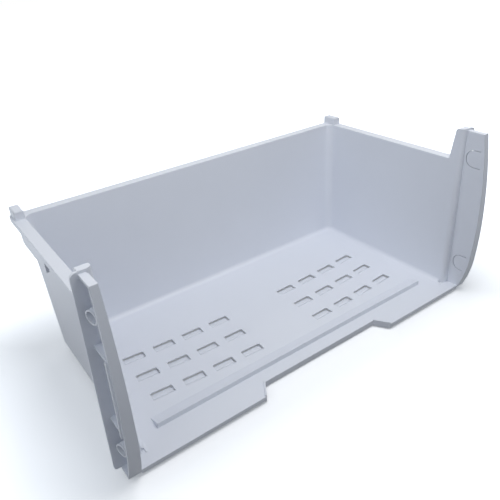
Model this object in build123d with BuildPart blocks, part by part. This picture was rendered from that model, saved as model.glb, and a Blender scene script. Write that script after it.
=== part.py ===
from build123d import *
import os
from math import atan, degrees, radians, tan

# Body of a freezer drawer: one moulding, open at the top and the front.
# X runs across the drawer, -Y is its front, Z is up and the drawer stands on Z = 0.
# The origin is below the middle of its bounding box. Lengths in millimetres.

# Tub
overall_depth = 246.7      # rear edge of the rim to the foremost point of the posts
inner_width = 416.0        # between the side walls, at the rim
wall = 2.4                 # thickness of walls, floor, flanges and ribs
draft_angle = 1.5          # lean of the walls, in degrees
floor_top = 7.8            # upper face of the floor
rim_top = 165.5            # upper face of the rim
corner_radius = 12.0       # rounding outside the rear corners
base_radius = 8.0          # rounding outside the bottom edges

# Rim with its turned-down lip, the runner skirts and the rear tabs
rim_reach = 9.1            # rim beyond the outer face of the wall
rim_lip = 6.0              # height of the lip under the rim's edge
rim_corner = 3.0           # rounding of the rim's rear corners
rim_softening = 0.8        # rounding of the edges around the rim's upper face
skirt_rear = 39.0          # rear end of the runner skirt, ahead of the rim's rear edge
skirt_length = 72.0
skirt_height = 16.2        # below the rim's upper face
skirt_rounding = 6.0       # at its lower rear corner
tooth_drop = 6.5           # stop tooth below the skirt
tooth_rear = 8.0           # length of the tooth's rear slope
tooth_front = 13.0         # length of the tooth's front slope
tab_width = 9.5
tab_length = 20.0
tab_height = 9.3
tab_rounding = 2.0

# Posts that carry the front panel
floor_setback = 14.1       # floor's front edge behind the foremost point of the posts
post_setback = 14.1        # front face of the post's flange behind the floor's front edge
post_step = 5.3            # post plate outside the wall's inner face
step_rounding = 5.0        # where the wall's inner face turns out to the flange
post_top = 198.4
post_top_setback = 7.9     # front edge at the top, behind the foremost point
nose_height = 104.0        # height of the foremost point
bend_height = 46.0         # where the front edge turns in more sharply, towards the floor
bend_setback = 3.2         # front edge there, behind the foremost point
lip_width = 6.5            # front lip beyond the post plate's inner face, at the top
bay_setback = 2.2          # web between the ribs, behind the curved front
bay_step = 1.6             # its edge beyond the lip
flange_width = 12.5        # flange beyond the post plate's inner face, at the top
flange_top = 200.3
flange_rounding = 5.0      # at its upper outer corner
flange_foot = 1.9          # its lower edge above the underside of the floor
flange_foot_rounding = 3.0 # at its lower outer corner
rib_heights = (64.0, 136.3)
ear_top = 200.7            # top of the side wall at the flange
ear_rear_top = 199.6       # top of the ear's rear edge
ear_start = 15.4           # foot of the ear behind the flange's front face
ear_lean = 5.0             # forward lean of the ear's rear edge
ear_rounding = 3.0         # at its upper rear corner

# Snap bosses: hollow studs on tongues cut out of the post plate
boss_radius = 6.8          # of its round collar
crown_radius = 6.3         # of the ramped crown on the collar
boss_bore_radius = 4.9
boss_proud = 0.8           # end of the boss beyond the front lip, on its axis
boss_ramp = 16.0           # slope of the crown, lower towards the front, in degrees
boss_heights = (39.8, 169.4)
boss_setbacks = (13.8, 12.2)   # boss axis ahead of the flange's front face
tongue_radius = 9.6
slit_width = 0.7
slit_margin = 4.5          # ends of the slit behind the curved front

# Front edge of the floor, with the recess between two tongues
recess_width = 174.0       # at the floor's front edge
recess_back_width = 153.0
recess_depth = 16.8
recess_offset = 7.5        # recess is off the middle of the drawer
recess_rounding = 4.0      # at the front corners of the tongues
tongue_lip = 4.5           # height of the front face of the tongues
tongue_rounding = 2.0      # at the outer ends of the lip below it
recess_lip = 6.2           # height of the face at the back of the recess
side_bead = 1.6            # raised bead along the sides of the recess
bead_width = 1.8

# Ridge across the floor
ridge_length = 361.0
ridge_depth = 15.6
ridge_height = 5.2
ridge_setback = 31.9       # its front face behind the floor's front edge

# Louvres: two groups of flaps that dip towards the rear and open under the floor
louvre_columns = 4
louvre_rows = 3
louvre_pitch = 35.0
louvre_row_pitch = 33.1
louvre_length = 23.6
louvre_depth = 11.0        # from the root of the flap to its rear edge
louvre_drop = 3.0          # depth of the flap at its rear edge
louvre_level = 6.5         # length of its level part, at the rear
louvre_corner = 2.0
louvre_skin = 1.6          # thickness of the flap at its rear edge
louvre_edge = 0.8          # thickness of the floor's edge around the flap
louvre_relief = 2.0        # width of the slope that thins it, on the underside
group_gap = 76.6           # clear width between the two groups
first_row = 97.4           # rear edge of the last row ahead of the rim's rear edge
row_bow = 0.000274         # the rows bow: rise towards the rear over the square of X

# Stiffening rib under the floor
foot_inset = 16.0          # from the outside of the walls

# Positions that follow from the sizes above
rear = overall_depth / 2
nose = -overall_depth / 2
floor_front = nose + floor_setback
flange_front = floor_front + post_setback
flange_back = flange_front + wall
floor_under = floor_top - wall
lean = tan(radians(draft_angle))
inner_half = inner_width / 2
rim_half = inner_half + wall + rim_reach
wall_rear = rear - rim_reach
post_face = inner_half + post_step
recess_back = floor_front + recess_depth
ridge_front = floor_front + ridge_setback


def wall_inset(height):
    """How far the leaning walls stand inside their place at the rim."""
    return (rim_top - height) * lean


def tub_block(grow, bottom, top, radius_less):
    """Block with the tub's leaning sides and rear, grown outwards by `grow`."""
    half = inner_half + grow
    back = wall_rear - wall + grow
    with BuildPart() as block:
        with BuildSketch(Plane.XZ.offset(-flange_front)):
            with BuildLine():
                Polyline(
                    (-half + wall_inset(bottom), bottom),
                    (half - wall_inset(bottom), bottom),
                    (half - wall_inset(top), top),
                    (-half + wall_inset(top), top),
                    close=True,
                )
            make_face()
        extrude(amount=-overall_depth)
        with BuildSketch(Plane.YZ):
            with BuildLine():
                Polyline(
                    (flange_front, bottom),
                    (back - wall_inset(bottom), bottom),
                    (back - wall_inset(top), top),
                    (flange_front, top),
                    close=True,
                )
            make_face()
        extrude(amount=overall_depth, both=True, mode=Mode.INTERSECT)
        rear_face = block.faces().sort_by(Axis.Y)[-1]
        upright = rear_face.edges().sort_by(Axis.X)
        fillet([upright[0], upright[-1]], corner_radius - radius_less)
        front_edges = block.faces().sort_by(Axis.Y)[0].edges()
        base = block.faces().sort_by(Axis.Z)[0].edges()
        fillet([e for e in base if e not in front_edges], base_radius - radius_less)
    return block.part


def lip_edge(height):
    """Outer edge of the post's front lip, which flares outwards towards the floor."""
    return post_face + lip_width + (post_top - height) * lean


def snap_boss(height, axis_y):
    """Hollow stud on the post plate: a collar and a crown that slopes away towards the front."""
    root = post_face + wall
    boss_end = lip_edge(height) + boss_proud
    ramp = tan(radians(boss_ramp))
    with BuildPart() as boss:
        with BuildSketch(Plane.YZ.offset(root)):
            with Locations((axis_y, height)):
                Circle(crown_radius)
        extrude(amount=boss_end + boss_radius - root)
        end_plane = Plane((boss_end, axis_y, height), x_dir=(0, 0, 1), z_dir=(1, -ramp, 0))
        split(bisect_by=end_plane, keep=Keep.BOTTOM)
        with BuildSketch(Plane.YZ.offset(root)):
            with Locations((axis_y, height)):
                Circle(boss_radius)
        extrude(amount=boss_end - boss_radius * ramp - root)
        with BuildSketch(Plane.YZ.offset(root)):
            with Locations((axis_y, height)):
                Circle(boss_bore_radius)
        extrude(amount=boss_end + boss_radius - root, mode=Mode.SUBTRACT)
    return boss.part


# Opening of one louvre, with edges thinned from below, and the flap that hangs in it
with BuildPart() as louvre_opening:
    with BuildSketch() as opening_plan:
        Rectangle(louvre_length, louvre_depth, align=(Align.CENTER, Align.MAX))
        fillet(opening_plan.vertices().group_by(Axis.Y)[-1], louvre_corner)
    extrude(amount=wall, both=True)
    with BuildSketch(Plane.XY.offset(-louvre_edge)):
        Rectangle(louvre_length, louvre_depth, align=(Align.CENTER, Align.MAX))
    with BuildSketch(Plane.XY.offset(-wall)):
        with Locations((0, louvre_relief)):
            Rectangle(
                louvre_length + 2 * louvre_relief,
                louvre_depth + louvre_relief,
                align=(Align.CENTER, Align.MAX),
            )
    loft(ruled=True)

with BuildPart() as louvre_flap:
    with BuildSketch(Plane.YZ):
        with BuildLine():
            Polyline(
                (0, -louvre_drop),
                (0, -louvre_drop - louvre_skin),
                (-louvre_level, -louvre_drop - louvre_skin),
                (-louvre_depth, -wall),
                (-louvre_depth - wall, -wall / 2),
                (-louvre_depth, 0),
                (-louvre_level, -louvre_drop),
                close=True,
            )
        make_face()
    extrude(amount=louvre_length / 2, both=True)

louvre_places = []
for side in (-1, 1):
    for row in range(louvre_rows):
        for column in range(louvre_columns):
            x = side * (group_gap / 2 + louvre_length / 2 + column * louvre_pitch)
            y = rear - first_row - row * louvre_row_pitch + row_bow * x**2
            louvre_places.append(Location((x, y, floor_top), (0, 0, degrees(atan(2 * row_bow * x)))))

# Right-hand post: plate, front lip, cap, shelf and ribs left by three pockets
with BuildPart() as post:
    with BuildSketch(Plane.YZ.offset(post_face)) as side_view:
        with BuildLine():
            upper = TangentArc(
                (nose, nose_height), (nose + post_top_setback, post_top), tangent=(0, 1)
            )
            middle = TangentArc(
                (nose, nose_height), (nose + bend_setback, bend_height), tangent=(0, -1)
            )
            lower = TangentArc(middle @ 1, (floor_front, floor_under), tangent=middle % 1)
            Polyline(
                upper @ 1, (flange_back, post_top), (flange_back, floor_under), lower @ 1
            )
        make_face()
    post_reach = lip_edge(floor_under) - post_face
    extrude(amount=post_reach)
    with BuildSketch(Plane.XZ.offset(-flange_back)):
        with BuildLine():
            Polyline(
                (post_face, floor_under),
                (lip_edge(floor_under), floor_under),
                (lip_edge(post_top), post_top),
                (post_face, post_top),
                close=True,
            )
        make_face()
    extrude(amount=overall_depth, mode=Mode.INTERSECT)
    with BuildSketch(Plane.YZ.offset(post_face + wall)):
        offset(side_view.sketch_local, amount=-wall)
        for height in rib_heights:
            with Locations((flange_front, height)):
                Rectangle(overall_depth, wall, mode=Mode.SUBTRACT)
    extrude(amount=post_reach, mode=Mode.SUBTRACT)

    # Flange across the post, joined to the end of the side wall
    with BuildSketch(Plane.XZ.offset(-flange_back)) as flange:
        with BuildLine():
            flare = flange_width - lip_width
            flange_bottom = floor_under + flange_foot
            Polyline(
                (inner_half - wall_inset(flange_bottom) + wall / 2, flange_bottom),
                (lip_edge(flange_bottom) + flare, flange_bottom),
                (lip_edge(flange_top) + flare, flange_top),
                (inner_half - wall_inset(flange_top) + wall / 2, flange_top),
                close=True,
            )
        make_face()
        fillet(flange.vertices().group_by(Axis.Y)[-1].sort_by(Axis.X)[-1], flange_rounding)
        fillet(flange.vertices().group_by(Axis.Y)[0].sort_by(Axis.X)[-1], flange_foot_rounding)
    extrude(amount=wall)

    # Snap bosses and the slits that free their tongues
    for height, setback in zip(boss_heights, boss_setbacks):
        boss_y = flange_front - setback
        add(snap_boss(height, boss_y))
        with BuildSketch(Plane.YZ.offset(post_face)):
            with BuildLine():
                bend = CenterArc((boss_y, height), tongue_radius, -90, 180)
                Line(bend @ 0, (nose, height - tongue_radius))
                Line(bend @ 1, (nose, height + tongue_radius))
            trace(line_width=slit_width)
            offset(side_view.sketch_local, amount=-slit_margin, mode=Mode.INTERSECT)
        extrude(amount=wall, mode=Mode.SUBTRACT)

# Wider web behind the post's curved front, between its ribs
with BuildPart() as bay_web:
    bay_bottom = min(rib_heights) - wall / 2
    bay_top = max(rib_heights) + wall / 2
    with BuildSketch(Plane.YZ.offset(post_face)):
        offset(side_view.sketch_local, amount=-bay_setback)
        offset(side_view.sketch_local, amount=-bay_setback - wall, mode=Mode.SUBTRACT)
        with Locations((nose, bay_bottom)):
            Rectangle(
                post_setback,
                bay_top - bay_bottom,
                align=(Align.MIN, Align.MIN),
                mode=Mode.INTERSECT,
            )
    extrude(amount=post_reach + bay_step)
    with BuildSketch(Plane.XZ.offset(-flange_back)):
        with BuildLine():
            Polyline(
                (post_face, bay_bottom),
                (lip_edge(bay_bottom) + bay_step, bay_bottom),
                (lip_edge(bay_top) + bay_step, bay_top),
                (post_face, bay_top),
                close=True,
            )
        make_face()
    extrude(amount=overall_depth, mode=Mode.INTERSECT)

# Ear: the side wall and its rim rise to the flange at the front
with BuildPart() as ear:
    ear_wall = inner_half - wall_inset(ear_top) + wall
    with BuildSketch(Plane.YZ.offset(inner_half - wall / 2)) as ear_view:
        with BuildLine():
            Polyline(
                (flange_front, rim_top - wall),
                (flange_front + ear_start, rim_top - wall),
                (flange_front + ear_start - ear_lean, ear_rear_top),
                (flange_front, ear_top),
                close=True,
            )
        make_face()
        fillet(ear_view.vertices().group_by(Axis.Y)[1], ear_rounding)
    extrude(amount=rim_half - inner_half + wall / 2)
    with BuildSketch(Plane.YZ.offset(ear_wall)):
        offset(ear_view.sketch_local, amount=-wall, kind=Kind.INTERSECTION)
    extrude(amount=rim_half, mode=Mode.SUBTRACT)

# What is cut away to round the corner between the wall's inner face and the flange
with BuildPart() as step_cut:
    step_foot = (inner_half - wall_inset(floor_top), flange_front, floor_top)
    with BuildSketch(Plane(step_foot, x_dir=(1, 0, -lean), z_dir=(lean, 0, 1))):
        with Locations((-wall, -wall)):
            Rectangle(wall + step_rounding, wall + step_rounding, align=(Align.MIN, Align.MIN))
        with Locations((step_rounding, step_rounding)):
            Circle(step_rounding, mode=Mode.SUBTRACT)
    extrude(amount=ear_top, both=True)
    split(bisect_by=Plane.XY.offset(floor_top), keep=Keep.TOP)

# Runner skirt with its stop tooth, under the outer edge of the rim
with BuildPart() as skirt:
    skirt_back = rear - skirt_rear
    skirt_front = skirt_back - skirt_length
    skirt_bottom = rim_top - skirt_height
    with BuildSketch(Plane.YZ.offset(rim_half - wall)) as skirt_view:
        with BuildLine():
            Polyline(
                (skirt_back, rim_top - wall),
                (skirt_back, skirt_bottom),
                (skirt_front + tooth_front + tooth_rear, skirt_bottom),
                (skirt_front + tooth_front, skirt_bottom - tooth_drop),
                (skirt_front, skirt_bottom),
                (skirt_front, rim_top - wall),
                close=True,
            )
        make_face()
        fillet(
            skirt_view.vertices().group_by(Axis.Y)[1].sort_by(Axis.X)[-1], skirt_rounding
        )
    extrude(amount=wall)

# Anti-tip tab on the rear corner of the rim
with BuildPart() as tab:
    with Locations((inner_half, rear, rim_top)):
        Box(tab_width, tab_length, tab_height, align=(Align.MIN, Align.MAX, Align.MIN))
    fillet(tab.faces().sort_by(Axis.Z)[-1].edges(), tab_rounding)

with BuildPart() as drawer_body:
    # Outside of the tub, and the rim around its top
    add(tub_block(wall, floor_under, rim_top, 0))
    with BuildSketch(Plane.XY.offset(rim_top)) as rim_plan:
        with Locations((0, flange_front)):
            Rectangle(2 * rim_half, rear - flange_front, align=(Align.CENTER, Align.MIN))
        fillet(rim_plan.vertices().group_by(Axis.Y)[-1], rim_corner)
    extrude(amount=-wall)
    with BuildSketch(Plane.XY.offset(rim_top)):
        add(rim_plan.sketch_local)
        with Locations((0, flange_front)):
            Rectangle(
                2 * (rim_half - wall),
                rear - wall - flange_front,
                align=(Align.CENTER, Align.MIN),
                mode=Mode.SUBTRACT,
            )
    extrude(amount=-rim_lip)

    # Floor between the posts
    with BuildSketch(Plane.XY.offset(floor_under)):
        with Locations((0, floor_front)):
            Rectangle(2 * post_face, post_setback + wall, align=(Align.CENTER, Align.MIN))
    extrude(amount=wall)

    # Lip below the floor's front edge, and the stiffening rib under the floor
    with BuildSketch(Plane.XZ.offset(-floor_front)) as tongue_face:
        with Locations((0, floor_top - tongue_lip)):
            Rectangle(2 * post_face, tongue_lip, align=(Align.CENTER, Align.MIN))
        fillet(tongue_face.vertices().group_by(Axis.Y)[0], tongue_rounding)
    extrude(amount=-wall)
    foot_half = inner_half + wall - wall_inset(floor_under) - foot_inset
    foot_rear = wall_rear - wall_inset(floor_under) - foot_inset
    with BuildSketch():
        with Locations((0, flange_front)):
            Rectangle(2 * foot_half, foot_rear - flange_front, align=(Align.CENTER, Align.MIN))
            Rectangle(
                2 * (foot_half - wall),
                foot_rear - wall - flange_front,
                align=(Align.CENTER, Align.MIN),
                mode=Mode.SUBTRACT,
            )
    extrude(amount=floor_under)

    # Features that stand on both sides
    for feature in (post, bay_web, ear, skirt):
        add(feature.part)
        mirror(feature.part, about=Plane.YZ)

    # Inside of the tub, its rounded front corners and softened edges around the top of the rim
    add(tub_block(0, floor_top, ear_top + wall, wall), mode=Mode.SUBTRACT)
    add(step_cut.part, mode=Mode.SUBTRACT)
    mirror(step_cut.part, about=Plane.YZ, mode=Mode.SUBTRACT)
    rim_face = drawer_body.faces().filter_by(Plane.XY).filter_by(
        lambda f: abs(f.center().Z - rim_top) < wall / 2
    ).sort_by(SortBy.AREA)[-1]
    fillet(
        [e for e in rim_face.edges() if e.center().Y > flange_front + ear_start + wall],
        rim_softening,
    )
    add(tab.part)
    mirror(tab.part, about=Plane.YZ)

    # Recess in the floor's front edge, with a lip below its edge and beads along its sides
    recess_left = recess_offset - recess_width / 2
    recess_right = recess_offset + recess_width / 2
    back_left = recess_offset - recess_back_width / 2
    back_right = recess_offset + recess_back_width / 2
    with BuildSketch(Plane.XY.offset(floor_top - recess_lip)):
        with BuildLine():
            Polyline(
                (recess_left, floor_front),
                (back_left, recess_back),
                (back_right, recess_back),
                (recess_right, floor_front),
            )
        trace(line_width=2 * wall)
    extrude(amount=recess_lip - wall)
    with BuildSketch(Plane.XY.offset(floor_top)):
        with BuildLine():
            Line((recess_left, floor_front), (back_left, recess_back))
            Line((recess_right, floor_front), (back_right, recess_back))
        trace(line_width=2 * bead_width)
    extrude(amount=side_bead)
    with BuildSketch() as recess:
        with BuildLine():
            Polyline(
                (recess_left - recess_depth, nose),
                (recess_left - recess_depth, floor_front),
                (recess_left, floor_front),
                (back_left, recess_back),
                (back_right, recess_back),
                (recess_right, floor_front),
                (recess_right + recess_depth, floor_front),
                (recess_right + recess_depth, nose),
                close=True,
            )
        make_face()
        front_corners = recess.vertices().group_by(Axis.Y)[1].sort_by(Axis.X)[1:3]
        fillet(front_corners, recess_rounding)
    extrude(amount=floor_top + side_bead, mode=Mode.SUBTRACT)

    # Ridge across the floor
    with BuildSketch(Plane.YZ.offset(-ridge_length / 2)):
        with BuildLine():
            Polyline(
                (ridge_front, floor_top - wall / 2),
                (ridge_front, floor_top + ridge_height),
                (ridge_front + ridge_depth, floor_top),
                (ridge_front + ridge_depth, floor_top - wall / 2),
                close=True,
            )
        make_face()
    extrude(amount=ridge_length)

    # Louvres
    with Locations(*louvre_places):
        add(louvre_opening.part, mode=Mode.SUBTRACT)
    with Locations(*louvre_places):
        add(louvre_flap.part)

drawer_body.part.label = "drawer_body"
os.makedirs("parts", exist_ok=True)
export_step(drawer_body.part, "parts/drawer_body.step")
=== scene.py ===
"""Freezer drawer body of pale moulded plastic, without its front panel, on a white studio floor."""
from math import radians

import bpy
from mathutils import Matrix, Vector


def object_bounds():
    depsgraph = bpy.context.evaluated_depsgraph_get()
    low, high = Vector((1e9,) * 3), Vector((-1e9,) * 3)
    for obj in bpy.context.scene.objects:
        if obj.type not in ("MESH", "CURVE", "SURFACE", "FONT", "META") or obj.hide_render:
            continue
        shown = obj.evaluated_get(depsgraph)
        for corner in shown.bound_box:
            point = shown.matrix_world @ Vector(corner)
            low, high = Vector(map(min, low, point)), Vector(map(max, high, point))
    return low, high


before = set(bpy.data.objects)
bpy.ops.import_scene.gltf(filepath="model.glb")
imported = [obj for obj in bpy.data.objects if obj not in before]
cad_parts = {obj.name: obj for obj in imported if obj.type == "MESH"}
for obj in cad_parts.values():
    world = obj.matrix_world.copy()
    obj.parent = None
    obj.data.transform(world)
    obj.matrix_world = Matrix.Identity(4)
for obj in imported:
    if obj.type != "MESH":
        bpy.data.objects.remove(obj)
cad_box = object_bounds()

# Camera, worked out from the louvre grid and the long straight edges of the drawer
CAMERA_PLACE = (-0.2971, -0.4231, 0.3858)
CAMERA_AZIMUTH = 33.8      # degrees that it looks to the right of +Y
CAMERA_ELEVATION = 29.43   # degrees that it looks down
CAMERA_ROLL = -4.18        # degrees about the line of sight
CAMERA_SENSOR = 36.0       # millimetres
CAMERA_LENS = 38.8         # millimetres
CAMERA_NEAR = 0.01         # metres to the nearest thing that it shows

# Studio floor
FLOOR_SIZE = 12.0                       # metres
FLOOR_WHITE = (0.95, 0.95, 0.955, 1.0)  # as the camera sees it
FLOOR_BOUNCE = (0.15, 0.15, 0.16, 1.0)  # as it throws light back on the drawer
GLOW_COLOUR = (0.86, 0.92, 1.0, 1.0)
GLOW_UNDER = 0.26                       # strength of the glow under the drawer, kept low as painted shade
GLOW_OPEN = 1.2                         # and far from it
GLOW_SPREAD = 0.24                      # metres beyond the drawer over which it rises

# Studio light
COOL = (0.90, 0.95, 1.0)
WHITE = (1.0, 1.0, 1.0)
WORLD_LIGHT = 0.27         # strength of the light from all round
BACKDROP_LIGHT = 1.0       # strength at which the backdrop shows as white
MIDDLE = (0.0, 0.0, 0.08)  # point of the drawer that the lamps face
LAMPS = {                  # place, width in metres, watts, colour, whether it glints
    "overhead": ((0.10, -0.14, 0.74), 0.40, 2.4, WHITE, True),
    "front": ((0.0, -1.2, 0.4), 0.8, 1.0, COOL, True),
    "left": ((-0.95, 0.0, 0.75), 1.5, 4.4, COOL, True),
    "behind_right": ((0.85, 1.0, 0.32), 0.8, 4.0, COOL, False),
}

# Plastic
BODY_PALE = (0.775, 0.800, 0.865, 1.0)
BODY_DEEP = (0.745, 0.772, 0.840, 1.0)
# Painted shade: darker colour laid into crevices, bores and slits where other surfaces close them in
CREVICE_PAINTED_SHADE = (0.48, 0.51, 0.60, 1.0)
CLOUDS = {"Scale": 14.0, "Detail": 4.0, "Roughness": 0.55}
CREVICE_REACH = 0.006      # metres within which other surfaces close a crevice in
CREVICE_SHUT = 0.10        # openness at which the painted crevice shade is full
CREVICE_CLEAR = 0.50       # openness at which none of it is left
CREVICE_SAMPLES = 8
SMOOTHEST = 0.36           # roughness at the low end of the clouds
ROUGHEST = 0.50            # and at the high end
SPECULAR = 0.45
GRAIN = {"Scale": 900.0, "Detail": 2.0, "Roughness": 0.6}
GRAIN_STRENGTH = 0.10
GRAIN_HEIGHT = 0.0002      # metres
EDGE_RADIUS = 0.0007       # metres
EDGE_SAMPLES = 6

# The Mix node's colour sockets share their names with its number sockets, so they go by place
MIX_SHARE = 0
MIX_LOW = 6
MIX_HIGH = 7
MIX_COLOUR = 2


class Nodes:
    """Short way to build the node tree of a material or the world."""

    def __init__(self, owner):
        owner.use_nodes = True
        self.tree = owner.node_tree
        self.tree.nodes.clear()

    def add(self, kind, inputs=None, **settings):
        """Adds a node. An input that is given a socket is linked to it, any other takes the value."""
        node = self.tree.nodes.new(kind)
        for name, value in settings.items():
            setattr(node, name, value)
        for name, value in (inputs or {}).items():
            if isinstance(value, bpy.types.NodeSocket):
                self.tree.links.new(value, node.inputs[name])
            else:
                node.inputs[name].default_value = value
        return node

    def largest(self, first, second):
        """Socket that holds the larger of two numbers."""
        return self.add("ShaderNodeMath", {0: first, 1: second}, operation="MAXIMUM").outputs[0]

    def mix(self, share, low, high):
        """Socket that holds the colour `share` of the way from `low` to `high`."""
        inputs = {MIX_SHARE: share, MIX_LOW: low, MIX_HIGH: high}
        return self.add("ShaderNodeMix", inputs, data_type="RGBA").outputs[MIX_COLOUR]

    def seen_directly(self):
        """Socket that holds 1 for camera, mirror and clear-body rays, 0 for light on surfaces."""
        path = self.add("ShaderNodeLightPath").outputs
        shown = self.largest(path["Is Camera Ray"], path["Is Glossy Ray"])
        return self.largest(shown, path["Is Transmission Ray"])


def plastic(name):
    """Satin moulded polystyrene: faint clouding, painted shade in crevices, mould grain and softened
    edges.
    """
    material = bpy.data.materials.new(name)
    nodes = Nodes(material)
    place = nodes.add("ShaderNodeTexCoord").outputs["Object"]

    clouds = nodes.add("ShaderNodeTexNoise", {"Vector": place, **CLOUDS}).outputs["Fac"]
    tint = nodes.mix(clouds, BODY_DEEP, BODY_PALE)
    sheen = nodes.add(
        "ShaderNodeMapRange", {"Value": clouds, "To Min": SMOOTHEST, "To Max": ROUGHEST}
    )

    # Painted shade: the colour darkens in crevices, bores and slits where ambient occlusion finds
    # other surfaces close
    crevices = nodes.add(
        "ShaderNodeAmbientOcclusion",
        {"Distance": CREVICE_REACH},
        samples=CREVICE_SAMPLES,
        only_local=True,
    )
    openness = nodes.add(
        "ShaderNodeMapRange",
        {"Value": crevices.outputs["AO"], "From Min": CREVICE_SHUT, "From Max": CREVICE_CLEAR},
    )
    colour = nodes.mix(openness.outputs["Result"], CREVICE_PAINTED_SHADE, tint)

    grain = nodes.add("ShaderNodeTexNoise", {"Vector": place, **GRAIN})
    edges = nodes.add("ShaderNodeBevel", {"Radius": EDGE_RADIUS}, samples=EDGE_SAMPLES)
    relief = nodes.add(
        "ShaderNodeBump",
        {
            "Height": grain.outputs["Fac"],
            "Normal": edges.outputs["Normal"],
            "Strength": GRAIN_STRENGTH,
            "Distance": GRAIN_HEIGHT,
        },
    )

    shader = nodes.add(
        "ShaderNodeBsdfPrincipled",
        {
            "Base Color": colour,
            "Roughness": sheen.outputs["Result"],
            "Normal": relief.outputs["Normal"],
            "Specular IOR Level": SPECULAR,
        },
    )
    nodes.add("ShaderNodeOutputMaterial", {"Surface": shader.outputs["BSDF"]})
    return material


def studio_floor():
    """White floor: the drawer's cast shadow, painted shade where the glow dims near it, pure white
    beyond.
    """
    bpy.ops.mesh.primitive_plane_add(size=FLOOR_SIZE)
    floor = bpy.context.object
    floor.name = "studio_floor"
    material = bpy.data.materials.new("floor_white")
    nodes = Nodes(material)

    # Distance beyond the drawer's box, which lies evenly about the origin
    place = nodes.add("ShaderNodeTexCoord").outputs["Object"]
    mirrored = nodes.add("ShaderNodeVectorMath", {0: place}, operation="ABSOLUTE")
    beyond = nodes.add(
        "ShaderNodeVectorMath", {0: mirrored.outputs[0], 1: cad_box[1]}, operation="SUBTRACT"
    )
    sides = nodes.add("ShaderNodeSeparateXYZ", {0: beyond.outputs[0]})
    away = nodes.largest(sides.outputs["X"], sides.outputs["Y"])

    # Painted shade: the glow dims towards the drawer and under it, darkening the floor there beyond
    # its cast shadow
    strength = nodes.add(
        "ShaderNodeMapRange",
        {"Value": away, "From Max": GLOW_SPREAD, "To Min": GLOW_UNDER, "To Max": GLOW_OPEN},
    )
    glow = nodes.add(
        "ShaderNodeEmission", {"Color": GLOW_COLOUR, "Strength": strength.outputs["Result"]}
    )
    shaded = nodes.add("ShaderNodeBsdfDiffuse", {"Color": FLOOR_WHITE})
    white = nodes.add("ShaderNodeAddShader", {0: shaded.outputs[0], 1: glow.outputs[0]})
    bounce = nodes.add("ShaderNodeBsdfDiffuse", {"Color": FLOOR_BOUNCE})
    surface = nodes.add(
        "ShaderNodeMixShader",
        {0: nodes.seen_directly(), 1: bounce.outputs[0], 2: white.outputs[0]},
    )
    nodes.add("ShaderNodeOutputMaterial", {"Surface": surface.outputs[0]})
    floor.data.materials.append(material)


def soft_lamp(name, place, width, watts, colour, glints):
    """Square soft box that faces the drawer. The plastic reflects it only where it `glints`."""
    lamp = bpy.data.lights.new(name, "AREA")
    lamp.energy = watts
    lamp.size = width
    lamp.color = colour
    box = bpy.data.objects.new(name, lamp)
    box.location = place
    box.rotation_euler = (Vector(MIDDLE) - Vector(place)).to_track_quat("-Z", "Y").to_euler()
    box.visible_glossy = glints
    bpy.context.scene.collection.objects.link(box)


def studio_light():
    """White surroundings, soft light from all round, and the lamps."""
    world = bpy.data.worlds.new("studio")
    bpy.context.scene.world = world
    nodes = Nodes(world)
    around = nodes.add(
        "ShaderNodeBackground", {"Color": (*COOL, 1.0), "Strength": WORLD_LIGHT}
    )
    backdrop = nodes.add(
        "ShaderNodeBackground", {"Color": (*WHITE, 1.0), "Strength": BACKDROP_LIGHT}
    )
    both = nodes.add(
        "ShaderNodeMixShader",
        {0: nodes.seen_directly(), 1: around.outputs[0], 2: backdrop.outputs[0]},
    )
    nodes.add("ShaderNodeOutputWorld", {"Surface": both.outputs[0]})
    for name, settings in LAMPS.items():
        soft_lamp(name, *settings)


def camera():
    """Camera at the photograph's viewing angle."""
    data = bpy.data.cameras.new("camera")
    data.sensor_width = CAMERA_SENSOR
    data.lens = CAMERA_LENS
    data.clip_start = CAMERA_NEAR
    view = bpy.data.objects.new("camera", data)
    turn = Matrix.Rotation(radians(-CAMERA_AZIMUTH), 4, "Z")
    tilt = Matrix.Rotation(radians(90.0 - CAMERA_ELEVATION), 4, "X")
    roll = Matrix.Rotation(radians(CAMERA_ROLL), 4, "Z")
    view.matrix_world = Matrix.Translation(CAMERA_PLACE) @ turn @ tilt @ roll
    bpy.context.scene.collection.objects.link(view)
    bpy.context.scene.camera = view


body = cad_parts["drawer_body"]
body.data.materials.clear()
body.data.materials.append(plastic("body_plastic"))

studio_floor()
studio_light()
camera()
bpy.context.scene.view_settings.view_transform = "Standard"
